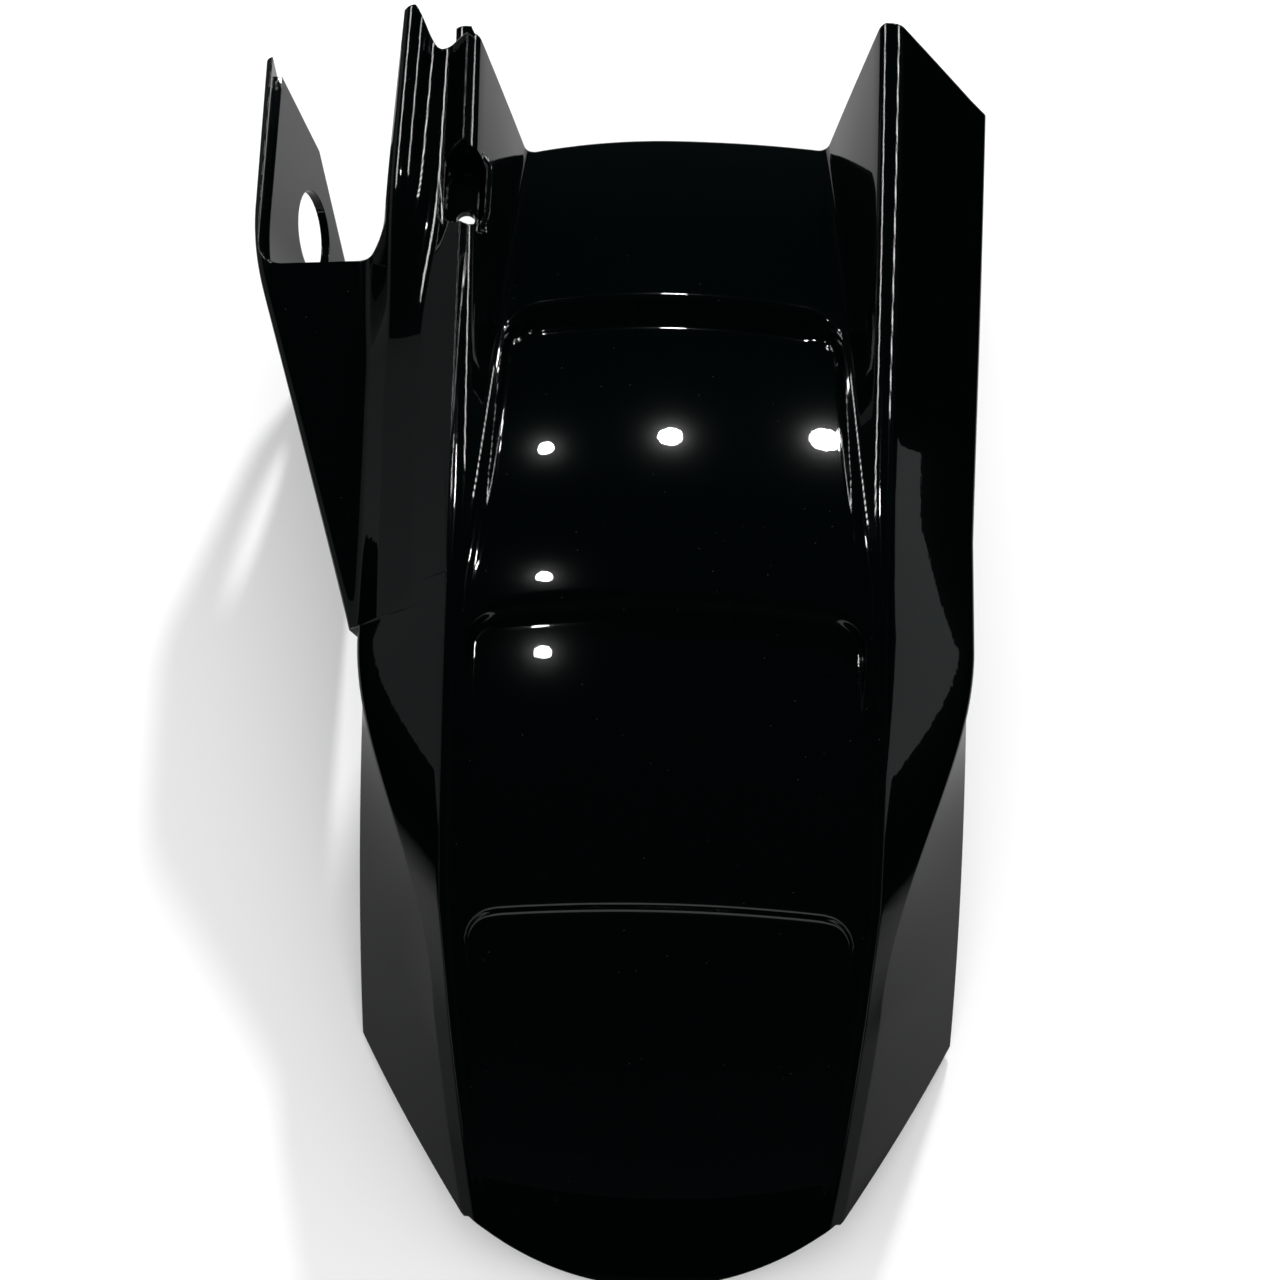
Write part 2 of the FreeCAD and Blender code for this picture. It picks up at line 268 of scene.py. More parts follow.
def panelSink(x, angle):
    total = np.zeros_like(x)
    lean = math.tan(math.radians(panel["wallLean"]))
    for step, depth, length in panel["steps"]:
        floorDepth = mix(depth, -panel["runOut"], (step - angle) / length)
        side = footAt(np.minimum(angle, step))[0] - panel["inset"] + np.maximum(floorDepth, 0.0) * lean
        u = np.radians(step - angle) * crown["radius"] - crown["rise"] * (x / crown["halfRear"]) ** 2
        v = side - np.abs(x)
        du = np.maximum(panel["corner"] - u, 0.0)
        dv = np.maximum(panel["corner"] - v, 0.0)
        inCorner = (du > 0.0) & (dv > 0.0)
        distance = np.where(inCorner, panel["corner"] - np.hypot(du, dv), np.minimum(u, v))
        share = np.where(inCorner, du ** 2 / np.maximum(du ** 2 + dv ** 2, 1e-9), np.where(u < v, 1.0, 0.0))
        wallDepth = distance * mix(1.0 / lean, 1.0, share)
        sunk = softMin(wallDepth, floorDepth, panel["footBlend"])
        total += -softMin(-sunk, np.zeros_like(sunk), panel["edgeBlend"])
    return total


def bodyColumn(column, angle):
    # one line along the arch: x and radius at each angle, with the panels sunk
    part, f = column
    outline = [np.stack(p, axis=1) for p in (skirtAt(angle), creaseAt(angle), crestAt(angle), footAt(angle))]
    fx = outline[3][:, 0]
    slope = 2.0 * crown["rise"] * fx / crown["halfRear"] ** 2
    lead = crown["footLead"]
    outline.append(np.stack((fx - lead, outline[3][:, 1] + lead * slope), axis=1))
    rounds = [flank["creaseRound"], crest["round"], crown["footRound"]]
    curves = [cornerCurve(outline[i], outline[i + 1], outline[i + 2], rounds[i]) for i in range(3)]
    lines = [(outline[0], curves[0][0]), (curves[0][3], curves[1][0]), (curves[1][3], curves[2][0])]
    if part < 6 and part % 2 == 0:
        a, b = lines[part // 2]
        flat = mix(a, b, f)
        return flat[:, 0], flat[:, 1]
    if part < 6:
        flat = along(curves[part // 2], f)
        return flat[:, 0], flat[:, 1]
    x = curves[2][3][:, 0] - f[0]
    x = x * (1.0 - f[1])
    return x, crownRadius(x) - panelSink(x, angle)


def halfColumns():
    # lines from the skirt's edge to the middle, closest where the panels' walls stand
    columns = []
    for part, count in enumerate(sheet["partCounts"]):
        columns += [(part, i / count) for i in range(count)]
    columns += [(6, (x, 0.0)) for x in np.arange(0.0, crown["edgeBand"], crown["edgePitch"])]
    columns += [(6, (x, 0.0)) for x in np.arange(crown["edgeBand"], crown["nearBand"], crown["nearPitch"])]
    columns += [(6, (crown["nearBand"], f)) for f in np.linspace(0.0, 1.0, crown["middleCount"])]
    return columns


def atAxle(x, r, angle):
    a = np.radians(angle)
    return np.stack((x, r * np.sin(a), r * np.cos(a) - sheet["axleDrop"]), axis=-1)


def crestHeight(y):
    a = math.radians(-crest["tangent"])
    behind = np.sqrt(np.maximum(crest["radius"] ** 2 - y * y, 0.0))
    ahead = crest["radius"] / math.cos(a) + y * math.tan(a)
    return np.where(y < -crest["radius"] * math.sin(a), behind, ahead) - sheet["axleDrop"]


def insideTail(p):
    x, y, z = np.abs(p[:, 0]), p[:, 1], p[:, 2]
    half = flank["creaseHalfTail"]
    sag = trim["tailReach"] - trim["tailCornerY"]
    arc = (half * half + sag * sag) / (2.0 * sag)
    edge = trim["tailReach"] - arc + np.sqrt(arc * arc - np.minimum(x, half) ** 2)
    slope = (trim["tailCornerZ"] - trim["skirtCornerZ"]) / (trim["tailCornerY"] - trim["skirtCornerY"])
    skirt = trim["skirtCornerZ"] + slope * (-trim["skirtCornerY"] - y)
    return (y > -edge) & ((x < half - trim["tailSlack"]) | (z > skirt))


def frontLine(tipY, z):
    # leaning side-view line through the crest's height at tipY
    angle = crown["frontAngle"]
    foot = float(footAt(np.array(angle))[1]) * math.cos(math.radians(angle)) - sheet["axleDrop"]
    tip = float(crestHeight(np.array(trim["crestTipY"])))
    lean = (trim["crestTipY"] - trim["crownFrontY"]) / (tip - foot)
    return tipY - lean * (float(crestHeight(np.array(tipY))) - z)


def insideFront(p):
    # the crown's left corner lies a little back, the right crest's tip a little ahead
    x, y, z = np.abs(p[:, 0]), p[:, 1], p[:, 2]
    middle = frontLine(trim["crestTipY"], z)
    low = np.clip((trim["crestTipY"] - middle) / (trim["crestTipY"] - trim["crownFrontY"]), 0.0, 1.0)
    wall = np.minimum(x / crown["halfFront"], 1.0) ** 2
    lead = np.where(p[:, 0] < 0.0, -trim["leftSetBack"] * low, trim["rightLead"] * (1.0 - low)) * wall
    out = np.clip((x - crest["half"]) / (flank["creaseHalf"] - crest["half"]), 0.0, 1.0)
    side = np.where(p[:, 0] < 0.0, trim["crestTipY"], trim["flankFrontY"] + trim["flankLead"] * (1.0 - out))
    return np.where(x < crest["half"], y < middle + lead, y < side)


def insideLeft(p):
    return p[:, 1] < trim["leftEndY"]


def edgeAngle(column, sign, inside, good, bad):
    # angle at which a line along the arch meets a trimmed edge
    for _ in range(sheet["halvings"]):
        middle = np.array([(good + bad) / 2.0])
        x, r = bodyColumn(column, middle)
        if inside(atAxle(x * sign, r, middle))[0]:
            good = float(middle[0])
        else:
            bad = float(middle[0])
    return good


def middleRows():
    rows = [sheet["tailRow"]]
    while rows[-1] < sheet["frontRow"]:
        near = any(s - panel["rowBehind"] < rows[-1] < s + panel["rowAhead"] for s, _, _ in panel["steps"])
        rows.append(rows[-1] + (panel["finePitch"] if near else panel["coarsePitch"]))
    return np.array(rows)


def bodyGrid(columns, signs, rows, endInside, endLimit, endCount):
    # points on the trimmed skin, one line along the arch after another
    lines = []
    for column, sign in zip(columns, signs):
        start = edgeAngle(column, sign, insideTail, float(rows[0]), sheet["tailLimit"])
        end = edgeAngle(column, sign, endInside, float(rows[-1]), endLimit)
        before = np.linspace(start, rows[0], sheet["tailCount"])[:-1]
        after = np.linspace(rows[-1], end, endCount)[1:]
        angle = np.concatenate((before, rows, after))
        x, r = bodyColumn(column, angle)
        lines.append(atAxle(x * sign, r, angle))
    return np.array(lines)


def gridFaces(lineCount, rowCount, base):
    faces = []
    for i in range(lineCount - 1):
        for j in range(rowCount - 1):
            a = base + i * rowCount + j
            faces.append((a, a + 1, a + rowCount + 1, a + rowCount))
    return faces


def skinObject(name, grids, up):
    # open skin from grids of points, faces turned so that the mean normal follows up
    points, faces = [], []
    for grid in grids:
        faces += gridFaces(grid.shape[0], grid.shape[1], len(points))
        points += list(toFrame(grid.reshape(-1, 3)))
    mesh = bpy.data.meshes.new(name)
    mesh.from_pydata([tuple(p) for p in points], [], faces)
    work = bmesh.new()
    work.from_mesh(mesh)
    bmesh.ops.remove_doubles(work, verts=work.verts, dist=sheet["mergeWithin"] / 1000.0)
    bmesh.ops.recalc_face_normals(work, faces=work.faces)
    total = sum((f.normal * f.calc_area() for f in work.faces), Vector())
    if total.dot(Vector(up)) < 0.0:
        bmesh.ops.reverse_faces(work, faces=work.faces)
    work.to_mesh(mesh)
    work.free()
    piece = bpy.data.objects.new(name, mesh)
    bpy.context.collection.objects.link(piece)
    return piece


def bodySkin():
    half = halfColumns()
    right = half[:-1]
    left = half[::-1]
    crestEnd = next(i for i, c in enumerate(left) if c[0] == 3 and c[1] == 0.0)
    rows = middleRows()
    columns = right + left[: crestEnd + 1]
    signs = [1.0] * len(right) + [-1.0] * (crestEnd + 1)
    main = bodyGrid(columns, signs, rows, insideFront, sheet["frontLimit"], sheet["frontCount"])
    flankColumns = left[crestEnd:]
    early = rows[rows < trim["leftRow"]]
    side = bodyGrid(flankColumns, [-1.0] * len(flankColumns), early, insideLeft, 0.0, sheet["leftCount"])
    return skinObject("body", [main, side], (0.0, 0.0, 1.0))


def softEnd(t):
    bend = guard["foldSoft"]
    bent = t - (t - 1.0 + bend) ** 2 / (4.0 * bend)
    return np.where(t < 1.0 - bend, t, np.where(t > 1.0 + bend, 1.0, bent))


def guardOutline(y):
    sink = guard["rearSink"] * (1.0 - ease((y - guard["rearY"]) / guard["rearBlend"]))
    top = crestHeight(y) - guard["crestSink"] - sink
    crestX = np.full_like(y, -crest["half"] - guard["crestInset"])
    bendZ = guard["breakZ"] + guard["breakClimb"] * (y - guard["rearY"]) - sink
    bend = np.stack((np.full_like(y, guard["breakX"]), bendZ), axis=1)
    run = softEnd((y - guard["rearY"]) / (guard["foldEndY"] - guard["rearY"]))
    foldX = mix(guard["foldRear"][0], guard["foldFront"][0], run)
    foldZ = mix(guard["foldRear"][1], guard["foldFront"][1], run)
    footX = foldX + guard["lean"] * (foldZ + guard["under"])
    rise = ease((y - guard["postStartY"]) / (guard["postFullY"] - guard["postStartY"]))
    rise = np.maximum(rise, guard["postLeast"])
    share = np.clip((y - guard["postStartY"]) / (guard["postTipY"] - guard["postStartY"]), 0.0, 1.0)
    postX = mix(guard["postRear"], guard["postFront"], share)
    valleyX = (crestX + postX) / 2.0

    def slopeZ(x):
        return mix(top, bend[:, 1], (x - crestX) / (bend[:, 0] - crestX))

    valleyZ = mix(slopeZ(valleyX), top - guard["valleyDepth"], rise)
    postZ = mix(slopeZ(postX), top, rise)
    pairs = [(crestX, top), (valleyX, valleyZ), (postX, postZ), (bend[:, 0], bend[:, 1]), (foldX, foldZ)]
    pairs.append((footX, np.full_like(y, -guard["under"])))
    return [np.stack(p, axis=1) for p in pairs]


def guardSkin():
    count = int((guard["frontY"] - guard["rearY"]) / guard["rowPitch"])
    y = np.linspace(guard["rearY"], guard["frontY"], count)
    points = guardOutline(y)
    wide = guard["valleyRound"] + sheet["wall"]
    rounds = [wide, guard["postRound"], wide, guard["foldRound"]]
    curves = [cornerCurve(points[i], points[i + 1], points[i + 2], rounds[i]) for i in range(4)]
    flats, here = [], points[0]
    for curve in curves:
        flats += [mix(here, curve[0], f) for f in np.linspace(0.0, 1.0, guard["flatCount"])[:-1]]
        flats += [along(curve, f) for f in np.linspace(0.0, 1.0, guard["roundCount"])[:-1]]
        here = curve[3]
    flats += [mix(here, points[5], f) for f in np.linspace(0.0, 1.0, guard["flapCount"])]
    grid = np.array([np.stack((p[:, 0], y, p[:, 1]), axis=1) for p in flats])
    return skinObject("guard", [grid], (0.0, 0.0, 1.0))


def prism(name, outline, low, high, axis):
    # closed cutter: an outline carried along one axis from low to high
    def place(p, h):
        return (h, p[0], p[1]) if axis == 0 else (p[0], p[1], h)

    count = len(outline)
    points = [place(p, low) for p in outline] + [place(p, high) for p in outline]
    faces = [tuple(range(count)), tuple(range(2 * count - 1, count - 1, -1))]
    faces += [(i, (i + 1) % count, count + (i + 1) % count, count + i) for i in range(count)]
    mesh = bpy.data.meshes.new(name)
    mesh.from_pydata([tuple(p) for p in toFrame(points)], [], faces)
    return closedObject(name, mesh)


def closedObject(name, mesh):
    work = bmesh.new()
    work.from_mesh(mesh)
    bmesh.ops.recalc_face_normals(work, faces=work.faces)
    work.to_mesh(mesh)
    work.free()
    piece = bpy.data.objects.new(name, mesh)
    bpy.context.collection.objects.link(piece)
    return piece


def rod(name, start, end, radius):
    # closed round cutter between two places
    a, b = [Vector(p) for p in toFrame([start, end])]
    mesh = bpy.data.meshes.new(name)
    work = bmesh.new()
    turn = (b - a).to_track_quat("Z", "Y").to_matrix().to_4x4()
    place = Matrix.Translation((a + b) / 2.0) @ turn
    size = radius / 1000.0
    shape = dict(radius1=size, radius2=size, depth=(b - a).length, matrix=place)
    bmesh.ops.create_cone(work, cap_ends=True, segments=guard["holeSides"], **shape)
    work.to_mesh(mesh)
    work.free()
    return closedObject(name, mesh)


def cutAway(piece, cutters):
    # solids removed one after another, and the cutters cleared
    for cutter in cutters:
        cut = piece.modifiers.new("cut", "BOOLEAN")
        cut.operation = "DIFFERENCE"
        cut.solver = "EXACT"
        cut.object = cutter
    settle(piece)
    for cutter in cutters:
        bpy.data.objects.remove(cutter)


def settle(piece):
    # the modifiers' result becomes the piece's own mesh
    graph = bpy.context.evaluated_depsgraph_get()
    made = bpy.data.meshes.new_from_object(piece.evaluated_get(graph))
    piece.modifiers.clear()
    piece.data = made


def thicken(piece):
    walls = piece.modifiers.new("wall", "SOLIDIFY")
    walls.thickness = sheet["wall"] / 1000.0
    walls.offset = -1.0
    walls.use_even_offset = True
    walls.use_quality_normals = True
    settle(piece)


def guardCutters():
    rear = guard["rearY"] - guard["rearOver"]
    foot = guard["footRearY"]
    lower = [(rear, guard["flapRearZ"]), (foot, 0.0), (foot, -reach), (rear, -reach)]
    tip = (guard["tipY"], guard["foldFront"][1])
    front = [(guard["footFrontY"], -reach), (guard["footFrontY"], 0.0)] + guard["front"] + [tip]
    front += [(tip[0], reach), (reach, reach), (reach, -reach)]
    post = [(frontLine(guard["postTipY"], z), z) for z in (-reach, reach)]
    post += [(2.0 * reach, reach), (2.0 * reach, -reach)]
    parting = guard["breakX"] - guard["parting"]
    normal = np.array((1.0, 0.0, guard["lean"])) / math.hypot(1.0, guard["lean"])
    holeX = guard["foldFront"][0] + guard["lean"] * (guard["foldFront"][1] - guard["holeZ"])
    hole = np.array((holeX, guard["holeY"], guard["holeZ"]))
    through = normal * guard["cutReach"]
    return [
        prism("lower", lower, -reach, 0.0, 0),
        prism("front", front, -reach, parting, 0),
        prism("post", post, parting, 0.0, 0),
        prism("dip", frontOutline(), 0.0, reach, 2),
        prism("notch", notchOutline(), guard["notchFloor"], reach, 2),
        rod("hole", hole - through, hole + through, guard["holeRadius"]),
        groundCutter(),
    ]


def frontOutline():
    # plan of the front edge, which dips between post and crest
    knots = np.array(guard["frontEdge"])
    steps = np.linspace(0.0, 1.0, guard["edgeCount"])[:-1]
    outline = [(knots[-1][0], reach), (knots[0][0], reach)]
    for a, b in zip(knots[:-1], knots[1:]):
        outline += [(mix(a[0], b[0], f), mix(a[1], b[1], ease(f))) for f in steps]
    return outline + [tuple(knots[-1])]


def groundCutter():
    return prism("ground", [(-reach, -reach), (reach, -reach), (reach, 0.0), (-reach, 0.0)], -reach, reach, 0)


def notchOutline():
    # plan of the notch between flap and post, with two rounded corners at its rear
    left = guard["foldFront"][0] + sheet["wall"]
    span = guard["postTipY"] - guard["postStartY"]

    def postSide(y):
        share = (y - guard["postStartY"]) / span
        return mix(guard["postRear"], guard["postFront"], share) - guard["postRound"]

    end = guard["notchY"]
    far = postSide(reach)
    plan = [np.array([p]) for p in ((left, reach), (left, end), (postSide(end), end), (far, reach))]
    outline = [(left, reach)]
    for i in (1, 2):
        curve = cornerCurve(plan[i - 1], plan[i], plan[i + 1], guard["notchCorner"])
        outline += [tuple(along(curve, f)[0]) for f in np.linspace(0.0, 1.0, guard["roundCount"])]
    return outline + [(far, reach)]


def recessTop():
    return float(crestHeight(np.array(recess["y"])))


def slotOutline(radius):
    # plan of the recess: two round ends joined by straight sides
    half = recess["length"] / 2.0 - recess["radius"]
    outline = []
    for i in range(recess["sides"]):
        a = 2.0 * math.pi * (i + 0.5) / recess["sides"]
        end = half if math.sin(a) > 0.0 else -half
        outline.append((recess["x"] + radius * math.cos(a), recess["y"] + end + radius * math.sin(a)))
    return outline


def recessCutter():
    top = recessTop()
    return prism("room", slotOutline(recess["radius"]), top - recess["depth"], top + recess["clear"], 2)


def recessCup():
    # cup that hangs from the crest, open at its top, with the screw hole in its floor
    top = recessTop()
    floor = top - recess["depth"]
    outer = slotOutline(recess["radius"] + recess["wall"])
    cup = prism("cup", outer, floor - sheet["wall"], top - recess["rim"], 2)
    screwY = recess["y"] - recess["length"] / 2.0 + recess["radius"]
    low, high = floor - recess["screwReach"], floor + recess["screwReach"]
    screw = rod("screw", (recess["x"], screwY, low), (recess["x"], screwY, high), recess["screwRadius"])
    cutAway(cup, [recessCutter(), screw])
    return cup


def joinPieces(name, pieces):
    work = bmesh.new()
    for piece in pieces:
        work.from_mesh(piece.data)
        bpy.data.objects.remove(piece)
    mesh = bpy.data.meshes.new(name)
    work.to_mesh(mesh)
    work.free()
    piece = bpy.data.objects.new(name, mesh)
    bpy.context.collection.objects.link(piece)
    return piece


def linearColour(code):
    # sRGB hex to linear
    parts = [int(code[i : i + 2], 16) / 255.0 for i in (1, 3, 5)]
    return [p / 12.92 if p <= 0.04045 else ((p + 0.055) / 1.055) ** 2.4 for p in parts] + [1.0]


def addNode(tree, kind, settings=None, links=None):
    # a node with its settings and socket values, links given as socket name to source socket
    node = tree.nodes.new(kind)
    for key, value in (settings or {}).items():
        if key in node.inputs.keys():
            node.inputs[key].default_value = value
        else:
            setattr(node, key, value)
    for key, source in (links or {}).items():
        tree.links.new(source, node.inputs[key])
    return node


gloss = dict(
    colour="#010303",
    ior=1.5,
    roughness=0.014,
    underRoughness=0.13,
    underSpecular=0.025,
    peelSize=2.6,
    peelHeight=0.004,
    dustSpacing=5.5,
    dustEdge=(0.05, 0.02),
    dustColour="#2a2b2b",
    edgeRadius=0.8,
)


def mouldedAbs():
    # black ABS from a polished mould: dark all through, a mirror-like skin with a faint ripple
    # its dust is finer than a pixel, so the specks are drawn coarser, to show
    material = bpy.data.materials.new("mouldedAbs")
    material.use_nodes = True
    tree = material.node_tree
    tree.nodes.clear()
    place = addNode(tree, "ShaderNodeTexCoord").outputs["Object"]
    edges = addNode(tree, "ShaderNodeBevel", {"samples": 6, "Radius": gloss["edgeRadius"] / 1000.0})
    ripple = {"Scale": 1000.0 / gloss["peelSize"], "Detail": 1.0}
    peel = addNode(tree, "ShaderNodeTexNoise", ripple, {"Vector": place})
    bump = addNode(
        tree,
        "ShaderNodeBump",
        {"Strength": 1.0, "Distance": gloss["peelHeight"] / 1000.0},
        {"Height": peel.outputs["Fac"], "Normal": edges.outputs["Normal"]},
    )
    dust = addNode(tree, "ShaderNodeTexVoronoi", {"Scale": 1000.0 / gloss["dustSpacing"]}, {"Vector": place})
    outer, inner = gloss["dustEdge"]
    specks = addNode(
        tree,
        "ShaderNodeMapRange",
        {"From Min": outer, "From Max": inner, "To Min": 0.0, "To Max": 1.0},
        {"Value": dust.outputs["Distance"]},
    )
    colour = addNode(tree, "ShaderNodeMix", {"data_type": "RGBA"})
    colour.inputs[6].default_value = linearColour(gloss["colour"])
    colour.inputs[7].default_value = linearColour(gloss["dustColour"])
    tree.links.new(specks.outputs["Result"], colour.inputs[0])
    shader = addNode(
        tree,
        "ShaderNodeBsdfPrincipled",
        {
            "IOR": gloss["ior"],
            "Roughness": gloss["underRoughness"],
            "Specular IOR Level": gloss["underSpecular"],
            "Coat Weight": 1.0,
            "Coat Roughness": gloss["roughness"],
            "Coat IOR": gloss["ior"],
        },
        {
            "Base Color": colour.outputs[2],
            "Normal": bump.outputs["Normal"],
            "Coat Normal": bump.outputs["Normal"],
        },
    )
    addNode(tree, "ShaderNodeOutputMaterial", {}, {"Surface": shader.outputs["BSDF"]})
    return material


def buildHugger():
    body = bodySkin()
    thicken(body)
    cutAway(body, [groundCutter(), recessCutter()])
    print("body skin", len(body.data.polygons))
    plate = guardSkin()
    thicken(plate)
    cutAway(plate, guardCutters() + [recessCutter()])
    print("chain guard", len(plate.data.polygons))
    hugger = joinPieces("rearHugger", [body, plate, recessCup()])
    hugger.data.materials.append(mouldedAbs())
    for polygon in hugger.data.polygons:
        polygon.use_smooth = True
    hugger.data.set_sharp_from_angle(angle=math.radians(sheet["sharpAngle"]))
    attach(hugger, "root")
    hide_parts("rear_hugger")
    return hugger


studio = dict(
    floorColour="#ffffff",
    floorSize=12.0,
    ambient=0.9,
    ceiling="#0b1414",
    horizon="#252b2b",
    horizonTop=0.45,
    # brightness of the paper as reflections see it, painted shade: beside, ahead, behind and far behind the
    # part
    paperBeside=0.28,
    paperFront=0.48,
    paperFrontY=(0.08, 0.24),
    paperRearY=(-0.08, -0.27),
    paperFarY=(-0.4, -0.44),
    paperFar=0.75,
    paperHalf=0.21,
    paperFade=0.05,
    lampDistance=1.9,
    lampGlow=170.0,
    lamps=[
        ((-0.023, 0.061, 0.122), (-0.24, 0.58, 0.78), 0.034),
        ((0.018, 0.067, 0.124), (0.0, 0.61, 0.79), 0.05),
        ((0.074, 0.067, 0.12), (0.29, 0.61, 0.73), 0.062),
        ((-0.024, -0.011, 0.116), (-0.25, 0.17, 0.95), 0.036),
    ],
    keyTowards=(0.13, 0.88, 0.455),
    keyDistance=2.3,
    keySize=0.15,
    keyPower=38.0,
    rowHeight=1.0,
    rowWidth=0.2,
    rowFill=0.6,
    rowColour="#ffffff",
    rowGlow=22.0,
    rowLeft=(-1.0, 0.26, 0.95, 24),
    rowRight=(1.05, 0.34, 0.95, 20),
    # painted dark reflection behind the tail: place, half width and height of the dark strip
    darkReflection=(-0.28, 0.26, 0.045),
    cardColour="#8a9290",
    cardLeft=(-0.40, -0.10, 0.42, 0.20, 0.5),
    cardRight=(0.44, -0.20, 0.17, 0.035, 1.0),
)


def paperMaterial():
    # white paper; reflections see it dimmer, and dark beyond its edges, which is painted shade in its
    # reflected colour: dimmer beside the part, lighter ahead and far behind, dark beyond its sides and behind
    # the tail
    paper = bpy.data.materials.new("paper")
    paper.use_nodes = True
    tree = paper.node_tree
    tree.nodes.clear()
    where = addNode(tree, "ShaderNodeTexCoord").outputs["Object"]
    place = addNode(tree, "ShaderNodeSeparateXYZ", {}, {"Vector": where})
    side = addNode(tree, "ShaderNodeMath", {"operation": "ABSOLUTE"}, {0: place.outputs["X"]})

    half = studio["paperHalf"]
    fades = []
    for source, limits, low, high in (
        (place.outputs["Y"], studio["paperFrontY"], studio["paperBeside"], studio["paperFront"]),
        (side.outputs[0], (half, half + studio["paperFade"]), 1.0, 0.0),
        (place.outputs["Y"], studio["paperRearY"], 1.0, 0.0),
        (place.outputs["Y"], studio["paperFarY"], 0.0, studio["paperFar"]),
    ):
        settings = {"From Min": limits[0], "From Max": limits[1], "To Min": low, "To Max": high}
        fades.append(addNode(tree, "ShaderNodeMapRange", settings, {"Value": source}).outputs["Result"])
    share = fades[0]
    for operation, other in (("MULTIPLY", fades[1]), ("MULTIPLY", fades[2]), ("ADD", fades[3])):
        share = addNode(tree, "ShaderNodeMath", {"operation": operation}, {0: share, 1: other}).outputs[0]
    path = addNode(tree, "ShaderNodeLightPath")
    white = addNode(tree, "ShaderNodeBsdfDiffuse", {"Color": linearColour(studio["floorColour"])})
    paintedShadePaper = addNode(tree, "ShaderNodeBsdfDiffuse", {}, {"Color": share})
    # reflections see the painted shade, the camera and the light see white paper
    parts = {0: path.outputs["Is Glossy Ray"], 1: white.outputs[0], 2: paintedShadePaper.outputs[0]}
    seen = addNode(tree, "ShaderNodeMixShader", {}, parts)
    addNode(tree, "ShaderNodeOutputMaterial", {}, {"Surface": seen.outputs[0]})
    return paper


def reflected(name, points, faces, colour, strength):
    # glowing sheet that only reflections see
    mesh = bpy.data.meshes.new(name)
    mesh.from_pydata(points, [], faces)
    glow = bpy.data.materials.new(name)
    glow.use_nodes = True
    tree = glow.node_tree
    tree.nodes.clear()
    light = addNode(tree, "ShaderNodeEmission", {"Color": linearColour(colour), "Strength": strength})
    addNode(tree, "ShaderNodeOutputMaterial", {}, {"Surface": light.outputs[0]})
    mesh.materials.append(glow)
    piece = bpy.data.objects.new(name, mesh)
    piece.visible_camera = False
    piece.visible_diffuse = False
    piece.visible_shadow = False
    bpy.context.collection.objects.link(piece)


def buildCard(name, x, y0, y1, height, strength):
    # low grey card beside the part
    points = [(x, y0, 0.0), (x, y1, 0.0), (x, y1, height), (x, y0, height)]
    reflected(name, points, [(0, 1, 2, 3)], studio["cardColour"], strength)


def buildRow(name, x, y0, y1, count):
    # row of ceiling lamps along one side, tilted to face the part
    pitch = (y1 - y0) / count
    run = studio["rowWidth"] / 2.0 * math.sqrt(0.5)
    inner, outer = x - math.copysign(run, x), x + math.copysign(run, x)
    high, low = studio["rowHeight"] + run, studio["rowHeight"] - run
    points, faces = [], []
    for i in range(count):
        start, end = y0 + pitch * i, y0 + pitch * (i + studio["rowFill"])
        faces.append(tuple(range(len(points), len(points) + 4)))
        points += [(inner, start, high), (inner, end, high), (outer, end, low), (outer, start, low)]
    reflected(name, points, faces, studio["rowColour"], studio["rowGlow"])


def buildDarkReflection():
    # low dark strip behind the tail that keeps the far paper out of its reflection; only reflections see it,
    # so it is a painted dark reflection
    y, half, height = studio["darkReflection"]
    points = [(-half, y, 0.0), (half, y, 0.0), (half, y, height), (-half, y, height)]
    reflected("darkReflection", points, [(0, 1, 2, 3)], "#000000", 0.0)


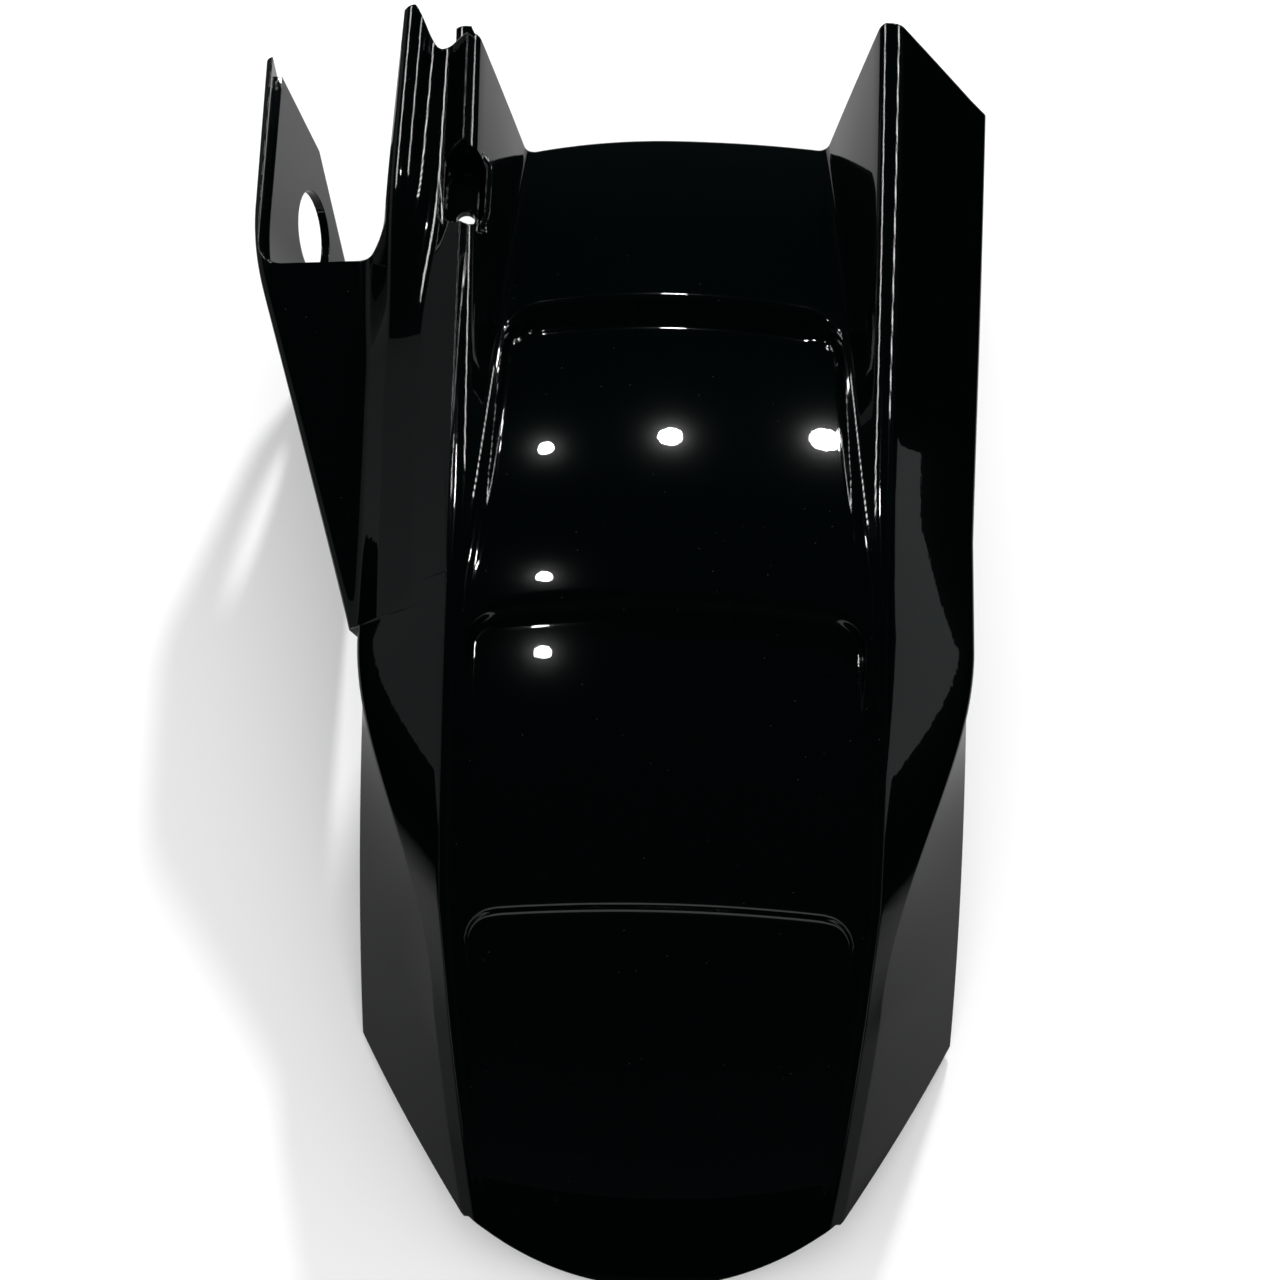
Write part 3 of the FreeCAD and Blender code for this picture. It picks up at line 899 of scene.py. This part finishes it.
def buildStudio():
    half = studio["floorSize"] / 2.0
    mesh = bpy.data.meshes.new("floor")
    corners = [(-half, -half, 0.0), (half, -half, 0.0), (half, half, 0.0), (-half, half, 0.0)]
    mesh.from_pydata(corners, [], [(0, 1, 2, 3)])
    floor = bpy.data.objects.new("floor", mesh)
    bpy.context.collection.objects.link(floor)
    floor.data.materials.append(paperMaterial())
    for name in ("cardLeft", "cardRight"):
        buildCard(name, *studio[name])
    for name in ("rowLeft", "rowRight"):
        buildRow(name, *studio[name])
    buildDarkReflection()

    world = bpy.data.worlds.new("studio")
    bpy.context.scene.world = world
    world.use_nodes = True
    tree = world.node_tree
    tree.nodes.clear()
    path = addNode(tree, "ShaderNodeLightPath")
    direction = addNode(tree, "ShaderNodeTexCoord").outputs["Generated"]
    height = addNode(tree, "ShaderNodeSeparateXYZ", {}, {"Vector": direction})
    settings = {"From Min": 0.0, "From Max": studio["horizonTop"]}
    up = addNode(tree, "ShaderNodeMapRange", settings, {"Value": height.outputs["Z"]})
    room = addNode(tree, "ShaderNodeMix", {"data_type": "RGBA"})
    room.inputs[6].default_value = linearColour(studio["horizon"])
    room.inputs[7].default_value = linearColour(studio["ceiling"])
    tree.links.new(up.outputs["Result"], room.inputs[0])
    seen = addNode(tree, "ShaderNodeBackground", {"Strength": 1.0}, {"Color": room.outputs[2]})
    white = {"Color": (1.0, 1.0, 1.0, 1.0), "Strength": studio["ambient"]}
    soft = addNode(tree, "ShaderNodeBackground", white)
    blend = addNode(tree, "ShaderNodeMixShader")
    tree.links.new(path.outputs["Is Glossy Ray"], blend.inputs[0])
    tree.links.new(soft.outputs[0], blend.inputs[1])
    tree.links.new(seen.outputs[0], blend.inputs[2])
    addNode(tree, "ShaderNodeOutputWorld", {}, {"Surface": blend.outputs[0]})

    for start, towards, radius in studio["lamps"]:
        power = studio["lampGlow"] * math.pi ** 2 * radius ** 2
        lamp = buildLight(Vector(start), Vector(towards), studio["lampDistance"], radius * 2.0, power)
        lamp.visible_diffuse = False
    towards = Vector(studio["keyTowards"])
    key = buildLight(Vector(), towards, studio["keyDistance"], studio["keySize"], studio["keyPower"])
    key.visible_glossy = False


def buildLight(start, towards, distance, size, power):
    light = bpy.data.lights.new("lamp", "AREA")
    light.shape = "DISK"
    light.size = size
    light.energy = power
    lamp = bpy.data.objects.new("lamp", light)
    lamp.location = start + towards.normalized() * distance
    lamp.rotation_euler = towards.to_track_quat("Z", "Y").to_euler()
    bpy.context.collection.objects.link(lamp)
    return lamp


lens = dict(
    focal=56.25,
    place=(0.01925, -0.19405, 0.77471),
    right=(0.99972, 0.02282, 0.00651),
    up=(-0.02373, 0.96133, 0.27439),
    shift=-0.0203,
)


def buildCamera():
    data = bpy.data.cameras.new("camera")
    data.lens = lens["focal"]
    data.sensor_width = 36.0
    data.shift_x = lens["shift"]
    data.clip_start = 0.01
    camera = bpy.data.objects.new("camera", data)
    right, up = Vector(lens["right"]), Vector(lens["up"])
    turn = Matrix((right, up, right.cross(up))).transposed().to_4x4()
    camera.matrix_world = Matrix.Translation(lens["place"]) @ turn
    bpy.context.collection.objects.link(camera)
    bpy.context.scene.camera = camera


buildHugger()
print("hugger built")
buildStudio()
buildCamera()
print("studio built")
bpy.context.scene.view_settings.view_transform = "Standard"
